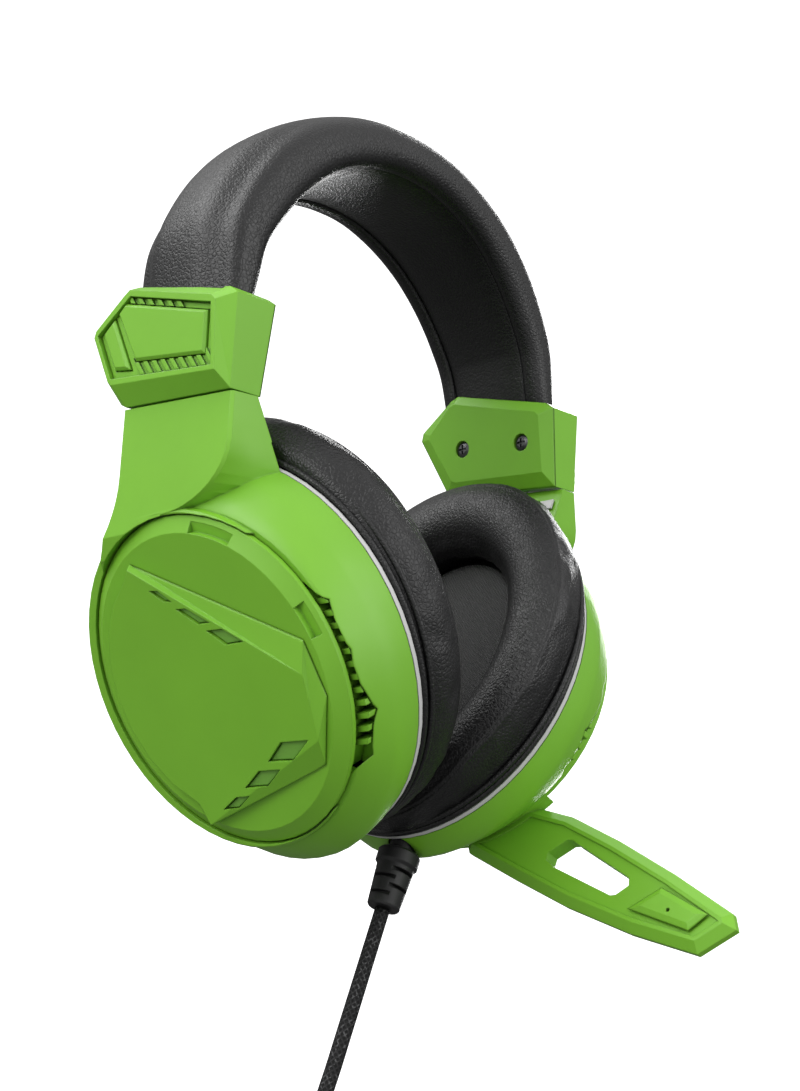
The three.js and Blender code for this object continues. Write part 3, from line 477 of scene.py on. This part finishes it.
def hank_route():
    """The whole winding: the outer layer from the first column to the last, then the inner one back."""
    d = 2 * CORD_RADIUS
    first = HANK["x"] + 1.5 * d
    outer, inner = HANK["turn"] + d, HANK["turn"]
    columns = [first - k * d for k in range(HANK["columns"])]
    points = []
    for k, x in enumerate(columns):
        last = k == len(columns) - 1
        after = x if last else columns[k + 1]
        points += hank_run(x, outer, HANK["waist"] + d, 1, True)
        points += hank_turn(x, x, outer, outer, False)
        points += hank_run(x, outer, HANK["waist"] + d, -1, False)
        points += hank_turn(x, after, outer, inner if last else outer, True)
    back_again = columns[::-1]
    for x, after in zip(back_again, back_again[1:]):
        points += hank_run(x, inner, HANK["waist"], 1, True)
        points += hank_turn(x, x, inner, inner, False)
        points += hank_run(x, inner, HANK["waist"], -1, False)
        points += hank_turn(x, after, inner, inner, True)
    return points, back_again[-1]


def cord_route():
    """The cord from the strain relief down to the hank, through its turns, and out of it to the plug."""
    lead_in = [cord_line(v) for v in (RELIEF_BOTTOM - GAP, -76, -84, -91, -98, -105, -112)]
    lead_in += [(-15.2, 0.2, -113.2), (-17, 1.5, -120.6), (-17.6, 3.3, -128), (-17.7, 5.2, HANK_TOP + 0.1)]
    outer = HANK["turn"] + 2 * CORD_RADIUS
    centre = HANK["z"] + HANK["run"] / 2
    for degrees, radius in ((60, outer + 2.9), (45, outer + 1.9), (30, outer + 0.9), (14, outer + 0.2)):
        angle = math.radians(degrees)
        lead_in.append((-17.7, radius * math.cos(angle), centre + radius * math.sin(angle)))
    wound, x = hank_route()
    tail = [(x, hank_half(HANK["turn"], HANK["waist"], h), HANK["z"] + h) for h in (40, 30, 20, 12, 4)]
    tail += [
        (-17.6, 6.2, -196), (-16.9, 5.9, -200), (-15.1, 5.3, -205.5), (-12.9, 5, -210.5), (-11.2, 5, -215),
        (-9.7, 5, -219.5), (-8.6, 5, -224), (-8.1, 5, -228.5), (-8.1, 5, PLUG_TOP + GAP),
    ]
    return [row_point(*p) for p in lead_in + wound + tail]


def along(points, spacing):
    """Points a fixed distance apart on a smooth curve through the given ones."""
    points = [np.array(p, float) for p in points]
    ends = [2 * points[0] - points[1], *points, 2 * points[-1] - points[-2]]
    dense = []
    for four in zip(ends, ends[1:], ends[2:], ends[3:]):
        dense.extend(stretch_between(*four, steps=6))
    dense = np.array([*dense, points[-1]])
    lengths = lengths_along(dense)
    wanted = np.linspace(0, lengths[-1], round(lengths[-1] / spacing))
    return at_lengths(wanted, lengths, dense), lengths[-1]


def tube(name, points, radius, material):
    """A tube with a map that runs round it and along it, in diameters."""
    sides = 12
    line, length = along(points, 1.8 * MM)
    tangents = np.gradient(line, axis=0)
    tangents /= np.linalg.norm(tangents, axis=1)[:, None]
    side = np.cross(tangents[0], (0.0, 1.0, 0.0))
    side /= np.linalg.norm(side)
    rings = []
    for centre, tangent in zip(line, tangents):
        side = side - tangent * side.dot(tangent)
        side /= np.linalg.norm(side)
        other = np.cross(tangent, side)
        for j in range(sides):
            angle = 2 * math.pi * j / sides
            rings.append(centre + radius * (side * math.cos(angle) + other * math.sin(angle)))
    faces = grid_faces(len(line), sides)
    count = len(faces)
    faces += [tuple(range(sides))[::-1], tuple((len(line) - 1) * sides + j for j in range(sides))]
    piece = new_piece(name, rings, faces, material)
    layer = piece.data.uv_layers.new(name="UVMap")
    step = length / (len(line) - 1) / (2 * radius)
    for i in range(count):
        ring, j = divmod(i, sides)
        corners = ((ring, j), (ring, j + 1), (ring + 1, j + 1), (ring + 1, j))
        for loop, (along_it, round_it) in zip(piece.data.polygons[i].loop_indices, corners):
            layer.data[loop].uv = (round_it / sides, along_it * step)
    return piece, line, length


route = cord_route()
lead, lead_path, lead_length = tube("lead", route, CORD_RADIUS * MM, braid)
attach(lead, "left_cup")
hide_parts("cord", "cord_hank", "cord_tail")


TIE_HEIGHT = 12.4
TIE_THICKNESS = 0.8
TIE_CORNER = 4.5
TIE_HALF_X = HANK_HALF_DEPTH + 0.2
TIE_HALF_Y = HANK["waist"] + 3 * CORD_RADIUS + 0.8
# The strap's cross section: how far out in thicknesses, and how far up in half heights.
TIE_SECTION = ((0, -1), (0.5, -1.03), (1, -0.97), (1, 0.97), (0.5, 1.03), (0, 1))


def tie_path():
    """The strap's way round the hank, seen from above, with its free end past the start again."""
    overlap = 9
    path = []
    for index, (sx, sy) in enumerate(((1, -1), (1, 1), (-1, 1), (-1, -1))):
        for step in range(7):
            angle = math.radians(-90 + 90 * index + 15 * step)
            path.append((sx * (TIE_HALF_X - TIE_CORNER) + TIE_CORNER * math.cos(angle),
                         sy * (TIE_HALF_Y - TIE_CORNER) + TIE_CORNER * math.sin(angle)))
    return path + path[:overlap]


def tie_strap():
    """The tie: a flat strap wound round the hank, with its free end lying over the start."""
    path = tie_path()
    count = len(path)
    sides = len(TIE_SECTION)
    climb_from = 20
    climb_steps = 8
    taper_steps = 4
    rings = []
    for i, (x, y) in enumerate(path):
        lifted = 0.02 + (TIE_THICKNESS + 0.05) * smooth((i - climb_from) / climb_steps)
        half = 0.5 * TIE_HEIGHT * (1 - 0.35 * smooth((i - count + taper_steps) / taper_steps))
        outward = Vector((x / TIE_HALF_X, y / TIE_HALF_Y)).normalized()
        for grow, up in TIE_SECTION:
            wave = 0.12 * math.sin(i * 0.9) if abs(up) < 1 else 0
            reach = lifted + grow * TIE_THICKNESS + wave
            rings.append(row_point(HANK["x"] + x + outward.x * reach, y + outward.y * reach,
                                   HANK["z"] + up * half))
    faces = grid_faces(count, sides)
    faces += [tuple(range(sides))[::-1], tuple((count - 1) * sides + j for j in range(sides))]
    return new_piece("tie_strap", rings, faces, strap_fabric)


tie = tie_strap()
fix_normals(tie)
subdivide(tie)
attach(tie, "left_cup")
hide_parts("cable_tie")

# ---------------------------------------------------------------- headband

ARCH_CENTRE = 83.15
BAND_OUT = 69.6  # the straight ends of the band stand this far from the middle plane
BAND_EDGE = 5.8
BAND_SQUARE = 2.3  # 2 would make the back of the cross section an ellipse
BAND_END = -5.0
CROWN_FORWARD = 1.3
PAD_RECESS = 0.4
CHANNEL = 0.61  # the pad's bed takes this share of the band's thickness
STATIONS = 132
LINING_STATIONS = 96


def arch_radius(angle):
    """The band's outer radius: a low arch, which softly meets the straight ends."""
    free = 76.9 - 10 * math.sin(angle) - 2.4 * math.cos(2 * angle) - 0.8 * math.cos(4 * angle)
    side = BAND_OUT / max(0.05, abs(math.cos(angle)))
    sharpness = 1.1
    return free - math.log1p(math.exp(sharpness * (free - side))) / sharpness


def band_thickness(angle):
    return 12 + 17 * math.sin(angle) - 12.6 * math.sin(angle) ** 2


def band_width(angle):
    return 37.8 + 4 * math.sin(angle)


def on_arch(angle, across, depth):
    r = arch_radius(angle) - depth
    return row_point(r * math.cos(angle), across - CROWN_FORWARD * math.sin(angle),
                     ARCH_CENTRE + r * math.sin(angle))


def wrap_section(angle):
    """Half of the wrap's cross section, from the middle of its back round to the pad: [across, depth]."""
    half = band_width(angle) / 2
    deep = band_thickness(angle)
    lip = half - BAND_EDGE
    waist = 0.6 * deep
    # A shallow valley in the back, beside each rolled edge, runs out towards the crown.
    valley = 1.5 * (1 - smooth((math.sin(angle) - 0.5) / 0.5))
    valley_at = 0.7 * half
    valley_spread = 2.9
    swell = 0.25
    steps = 14
    points = []
    for i in range(steps + 1):
        turn = math.pi / 2 * (1 - i / steps)
        across = half * math.cos(turn) ** (2 / BAND_SQUARE)
        depth = waist - waist * math.sin(turn) ** (2 / BAND_SQUARE)
        dip = math.exp(-(((across - valley_at) / valley_spread) ** 2))
        points.append((across, depth + valley * dip))
    points += [
        (half + swell, waist + 0.22 * (deep - waist)), (half - 0.1 + swell, waist + 0.48 * (deep - waist)),
        (half - 0.9 + swell, waist + 0.76 * (deep - waist)), (half - 2.1, deep - 0.45),
        (half - 3.5, deep - 0.02), (lip + 1.0, deep - 0.08), (lip + 0.3, deep - 0.35),
        (lip + 0.02, deep - 1.0), (lip, deep - 2.6),
    ]
    return points


def swept(section, stations):
    """A skin of cross sections set round the arch: its points, its faces and the points in a section."""
    rows = []
    for i in range(stations + 1):
        angle = math.radians(BAND_END + (180 - 2 * BAND_END) * i / stations)
        rows.append([on_arch(angle, a, d) for a, d in section(angle, i / stations)])
    count = len(rows[0])
    points = [p for ring in rows for p in ring]
    faces = grid_faces(len(rows), count)
    faces += [tuple(range(count))[::-1], tuple((len(rows) - 1) * count + j for j in range(count))]
    return points, faces, count


def full_wrap(angle, _):
    """The whole cross section, with the hollow under the pad between its two lips."""
    right_half = wrap_section(angle)
    left_half = [(-a, d) for a, d in right_half[1:]][::-1]
    floor = band_thickness(angle) - 2.9
    flat = band_width(angle) / 2 - BAND_EDGE - 1.5
    return right_half + [(flat, floor), (0, floor), (-flat, floor)] + left_half


def headband_wrap():
    """The padded cover, whose surface wanders a little as foam under leather does."""
    points, faces, count = swept(full_wrap, STATIONS)
    centre = row_point(0, 0, ARCH_CENTRE)
    fading_rings = 14
    soft = []
    for index, p in enumerate(points):
        ring = index // count
        lift = (0.22 * noise.noise(p * 62) + 0.05 * noise.noise(p * 210)) * MM
        fade = min(1.0, min(ring, STATIONS - ring) / fading_rings)
        outward = Vector((p.x - centre.x, 0, p.z - centre.z)).normalized()
        soft.append(p + outward * lift * fade)
    piece = new_piece("headband_wrap", soft, faces, leather)
    fix_normals(piece)
    return piece


wrap = headband_wrap()
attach(wrap, "headband")
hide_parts("headband_cover")


def lining_section(angle, t):
    """The pad against the head: flat behind, gently crowned in front, tucked in along its edges."""
    half = band_width(angle) / 2 - BAND_EDGE - 0.05
    deep = band_thickness(angle)
    low = deep - PAD_RECESS
    thinning = 2.6 * (1 - smooth(min(t, 1 - t) / 0.13))
    top = deep - CHANNEL * deep + 1.6 + thinning
    right_half = [
        (0, top), (0.5 * half, top), (half - 0.6, top), (half, top + 0.8), (half, low - 1.6),
        (half - 0.05, low - 0.7), (half - 0.4, low - 0.25), (half - 1.4, low - 0.05), (0.66 * half, low),
        (0.36 * half, low), (0, low),
    ]
    left_half = [(-a, d) for a, d in right_half[1:-1]][::-1]
    return right_half + left_half


def headband_lining():
    """The inner pad, held by its back, its sides and its two ends while its face swells."""
    points, faces, count = swept(lining_section, LINING_STATIONS)
    side = 5  # the points 0 to 5 of a section, and their mirrors, are its back and its side
    ends = 2 * count
    pinned = [i for i in range(len(points)) if i % count <= side or i % count >= count - side
              or i < ends or i >= len(points) - ends]
    points = inflated(points, faces, pinned, cap=0.7, slack=0.0)
    piece = new_piece("headband_lining", points, faces, pad_leather)
    fix_normals(piece)
    subdivide(piece)
    return piece


lining = headband_lining()
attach(lining, "headband")
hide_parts("headband_inner_pad")

# ---------------------------------------------------------------- ear cushions

# Half widths along the cup's u and v, and how far the middle sits up.
HOLE = {"u": 28.5, "v": 36.0, "up": 0.5}
OUTLINE = {"u": 49.6, "v": 55.3, "up": 3.4}
RIM = {"u": 47.0, "v": 50.7}
DEPTH = 20.6
MIDDLE_GAP = 0.6
# A cushion's cross section: share of the way from hole to outline, and share of the depth.
SECTION = [
    (0.1, 0.1), (0.04, 0.24), (0.0, 0.42), (0.03, 0.62), (0.12, 0.83), (0.26, 0.95), (0.44, 1.0),
    (0.6, 0.995), (0.74, 0.955), (0.86, 0.89), (0.94, 0.79), (0.985, 0.66), (0.99, 0.5), (0.955, 0.34),
    (0.9, 0.22), (0.84, 0.12), (0.6, 0.09), (0.34, 0.09),
]
SECTION_MIDDLE = (0.5, 0.52)
SEAM_AT = (0.94, 0.79)
SEAM_LIP = 0.22
GLUED = 0.3  # share of the depth, next to the cup, that doesn't swell
AROUND = 132
ACROSS = 34


def cushion_point(sign, out, depth, angle):
    """A point of a cushion, which is only as deep as the space up to the middle plane lets it be."""
    half_u, half_v, up = (HOLE[key] + (OUTLINE[key] - HOLE[key]) * out for key in ("u", "v", "up"))
    u = half_u * math.cos(angle)
    v = up + half_v * math.sin(angle)
    room = (CUP_OUT - MIDDLE_GAP + v * math.sin(TILT)) / math.cos(TILT)
    return cup_point(sign, -depth * min(DEPTH, room), u, v)


def section_with_seam():
    """The cross section, with a point close by on each side of the seam, and the seam's index."""
    section = closed_curve(SECTION, ACROSS - 2)
    seam = int(np.argmin(np.linalg.norm(section - np.array(SEAM_AT), axis=1)))
    before = section[seam] + SEAM_LIP * (section[seam - 1] - section[seam])
    after = section[seam] + SEAM_LIP * (section[seam + 1] - section[seam])
    section = np.concatenate([section[:seam], [before], section[seam:seam + 1], [after], section[seam + 1:]])
    return section, seam + 1


def cushion(side, sign):
    """An ear cushion, blown up from a slimmer start between its glued back and its seam."""
    section, seam = section_with_seam()
    middle = np.array(SECTION_MIDDLE)
    slim = middle + (section - middle) * np.array([0.985, 0.965])
    points = [cushion_point(sign, o, d, 2 * math.pi * i / AROUND) for i in range(AROUND) for o, d in slim]
    faces = grid_faces(AROUND, ACROSS, close_rows=True)
    held = [j for j, (_, depth) in enumerate(section) if depth < GLUED]
    pinned = [i * ACROSS + j for i in range(AROUND) for j in held + [seam - 1, seam, seam + 1]]
    points = inflated(points, faces, pinned, cap=1.1, slack=0.015)
    # The seam lies in a shallow furrow, and the skin gathers a little round the ear hole.
    shaped = []
    for index, p in enumerate(points):
        i, j = divmod(index, ACROSS)
        angle = 2 * math.pi * i / AROUND
        out, depth = section[j]
        inward = cushion_point(sign, 0.5, 0.5, angle) - p
        inward.normalize()
        furrow = {0: 1.0, 1: 0.12, 2: 0.1}.get(abs(j - seam), 0.0)
        near_hole = smooth((0.3 - out) / 0.3) * smooth((depth - 0.2) / 0.3)
        folds = noise.noise(Vector((math.cos(angle) * 9, math.sin(angle) * 9, 3 * sign)))
        gather = 0.22 * near_hole * folds
        loose = 0.14 * noise.noise(p * 70) if depth > GLUED else 0
        shaped.append(p + inward * (furrow + gather + loose) * MM)
    piece = new_piece(f"{side}_cushion_skin", shaped, faces, leather)
    fix_normals(piece)
    subdivide(piece)
    return piece


def bead(name, sign, grow_u, grow_v, up, n, radius):
    """A thin roll that follows the cup's rim outline."""
    around = 120
    sides = 10
    rings = []
    for i in range(around):
        angle = 2 * math.pi * i / around
        for j in range(sides):
            turn = 2 * math.pi * j / sides
            out = radius * math.cos(turn)
            u = (RIM["u"] + grow_u + out) * math.cos(angle)
            v = up + (RIM["v"] + grow_v + out) * math.sin(angle)
            rings.append(cup_point(sign, n + radius * math.sin(turn), u, v))
    piece = new_piece(name, rings, grid_faces(around, sides, close_rows=True), leather)
    fix_normals(piece)
    return piece


CLOTH_U = HOLE["u"] - 1
CLOTH_V = HOLE["v"] - 1
CLOTH_AT = -4.35
CLOTH_BOW = 0.9


def ear_cloth(side, sign):
    """The thin cloth stretched over the driver's opening, bowed out a little by the foam behind it."""
    rings = 14
    around = 72
    points = [cup_point(sign, CLOTH_AT - CLOTH_BOW, 0, HOLE["up"])]
    for k in range(1, rings + 1):
        r = k / rings
        bow = CLOTH_BOW * (1 - r * r)
        for i in range(around):
            angle = 2 * math.pi * i / around
            ripple = 0.06 * noise.noise(Vector((r * 7, math.cos(angle) * 2, math.sin(angle) * 2)))
            u = r * CLOTH_U * math.cos(angle)
            v = HOLE["up"] + r * CLOTH_V * math.sin(angle)
            points.append(cup_point(sign, CLOTH_AT - bow - ripple, u, v))
    faces = [(0, 1 + i, 1 + (i + 1) % around) for i in range(around)]
    for k in range(rings - 1):
        for i in range(around):
            a = 1 + k * around + i
            b = 1 + k * around + (i + 1) % around
            faces.append((a, a + around, b + around, b))
    piece = new_piece(f"{side}_ear_cloth", points, faces, speaker_fabric)
    fix_normals(piece)
    modifier = piece.modifiers.new("thickness", "SOLIDIFY")
    modifier.thickness = 0.5 * MM
    modifier.offset = 0
    return piece


# Each roll's growth over the rim in u and v, how far it sits up, its place along n, and its radius.
ROLLS = {
    "base_roll": (-0.2, 0.1, 0.6, -2.45, 0.95),
    "edge_welt": (0.9, 1.0, 1.5, -4.5, 0.8),
}

for side, sign in (("left", 1), ("right", -1)):
    body = f"{side}_cup"
    skin = cushion(side, sign)
    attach(skin, body)
    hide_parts(f"{side}_ear_cushion")
    for label, sizes in ROLLS.items():
        roll = bead(f"{side}_{label}", sign, *sizes)
        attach(roll, body)
    cloth = ear_cloth(side, sign)
    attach(cloth, body)
    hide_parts(f"{side}_speaker_cloth")

# ---------------------------------------------------------------- finish of the CAD nodes


SOFT_CREASE = 24.0
FLAT_CREASE = 12.0
BOOM_CREASE = 14.0
WELD_WITHIN = 0.02 * MM


def dress(name, material, angle=22.0):
    """Gives a CAD node its material. Its shallow facets are shaded smooth and its real edges stay crisp."""
    node = nodes[name]
    node.data.materials.clear()
    node.data.materials.append(material)
    node.data.polygons.foreach_set("use_smooth", [True] * len(node.data.polygons))
    weld = node.modifiers.new("weld", "WELD")
    weld.merge_threshold = WELD_WITHIN
    split = node.modifiers.new("creases", "EDGE_SPLIT")
    split.split_angle = math.radians(angle)
    split.use_edge_sharp = False


FLAT_SIDED = {
    "slider_housing": green, "housing_cover": green, "housing_panel": green, "housing_sliver": green,
    "outer_disc": green, "shield_panel": green,
}
OTHERS = {
    "housing_grille": grille_green_painted_shade, "cup_shell": green, "arm_cover": green, "vent_grille": grille_green_painted_shade,
    "light_guide": window_green, "trim_ring": pale_plastic, "side_badge": pale_plastic,
    "baffle": black_plastic, "driver_frame": black_plastic, "driver_magnet": bright_steel,
    "driver_diaphragm": film, "screw_front": dark_steel, "screw_rear": dark_steel,
    "slider_strip": bright_steel,
}
for side in ("left", "right"):
    for looks, crease in ((FLAT_SIDED, FLAT_CREASE), (OTHERS, SOFT_CREASE)):
        for part, material in looks.items():
            dress(f"{side}_{part}", material, crease)
dress("headband_band", dark_steel)
dress("boom_arm", green, BOOM_CREASE)
dress("boom_mic_cover", green)
dress("boom_mic_capsule", dark_steel)
dress("strain_relief", black_rubber)
dress("plug_body", black_plastic)
dress("plug_tip", gold)

# ---------------------------------------------------------------- floor, backdrop and lights


def backdrop():
    """A pale floor that curves up all round into a closed pale dome."""
    floor_z = -0.47
    reach = 4.0
    bend = 1.5
    around = 64
    bend_steps = 10
    dome_steps = 12
    profile = [(0.6 * step, floor_z) for step in range(5)]
    for step in range(1, bend_steps + 1):
        angle = math.pi / 2 * step / bend_steps
        profile.append((reach - bend + bend * math.sin(angle), floor_z + bend - bend * math.cos(angle)))
    for step in range(1, dome_steps + 1):
        angle = math.pi / 2 * step / dome_steps
        profile.append((reach * math.cos(angle), floor_z + bend + reach * math.sin(angle)))
    points = []
    for distance, height in profile:
        for step in range(around):
            angle = 2 * math.pi * step / around
            points.append((distance * math.cos(angle), distance * math.sin(angle), height))
    tone = (0.9, 0.9, 0.9)
    pale = Paint("backdrop", tone, 0.9, specular=0.1)
    pale.finish(pale.mix(pale.noise(30), tone, (0.92, 0.92, 0.92)))
    pale.set("Emission Color", (1, 1, 1, 1))
    pale.set("Emission Strength", 0.8)
    piece = new_piece("backdrop", points, grid_faces(len(profile), around), pale.material)
    piece.visible_diffuse = False
    piece.visible_glossy = False
    piece.visible_shadow = False


backdrop()


LIT_POINT = Vector((0, 0, -0.1))


def soft_light(name, position, width, height, power):
    """A rectangular light panel that faces the middle of the headset."""
    data = bpy.data.lights.new(name, "AREA")
    data.shape = "RECTANGLE"
    data.size = width
    data.size_y = height
    data.energy = power
    light = bpy.data.objects.new(name, data)
    light.location = position
    light.rotation_euler = (LIT_POINT - Vector(position)).to_track_quat("-Z", "Y").to_euler()
    scene.collection.objects.link(light)


soft_light("top", (-0.6, 0.6, 1.05), 1.0, 0.8, 8)
soft_light("left", (-1.4, 0.0, 0.7), 1.0, 0.9, 10)
soft_light("front", (0.35, -1.5, 0.35), 1.0, 1.2, 8.5)
soft_light("rim", (1.15, 0.5, 0.2), 0.5, 1.5, 23)


def sky():
    """Soft light from all round, brightest from above, in front and on the right cup's side."""
    brightest = Vector((-0.42, -0.5, 0.75)).normalized()
    world = bpy.data.worlds.new("world")
    world.use_nodes = True
    tree = world.node_tree
    where = tree.nodes.new("ShaderNodeTexCoord")
    facing = tree.nodes.new("ShaderNodeVectorMath")
    facing.operation = "DOT_PRODUCT"
    facing.inputs[1].default_value = brightest
    level = tree.nodes.new("ShaderNodeMapRange")
    level.interpolation_type = "SMOOTHSTEP"
    for key, number in (("From Min", -0.6), ("From Max", 0.95), ("To Min", 0.14), ("To Max", 0.9)):
        level.inputs[key].default_value = number
    background = tree.nodes["Background"]
    background.inputs["Color"].default_value = (1, 1, 1, 1)
    tree.links.new(where.outputs["Generated"], facing.inputs[0])
    tree.links.new(facing.outputs["Value"], level.inputs["Value"])
    tree.links.new(level.outputs["Result"], background.inputs["Strength"])
    scene.world = world


sky()
scene.view_settings.view_transform = "Standard"
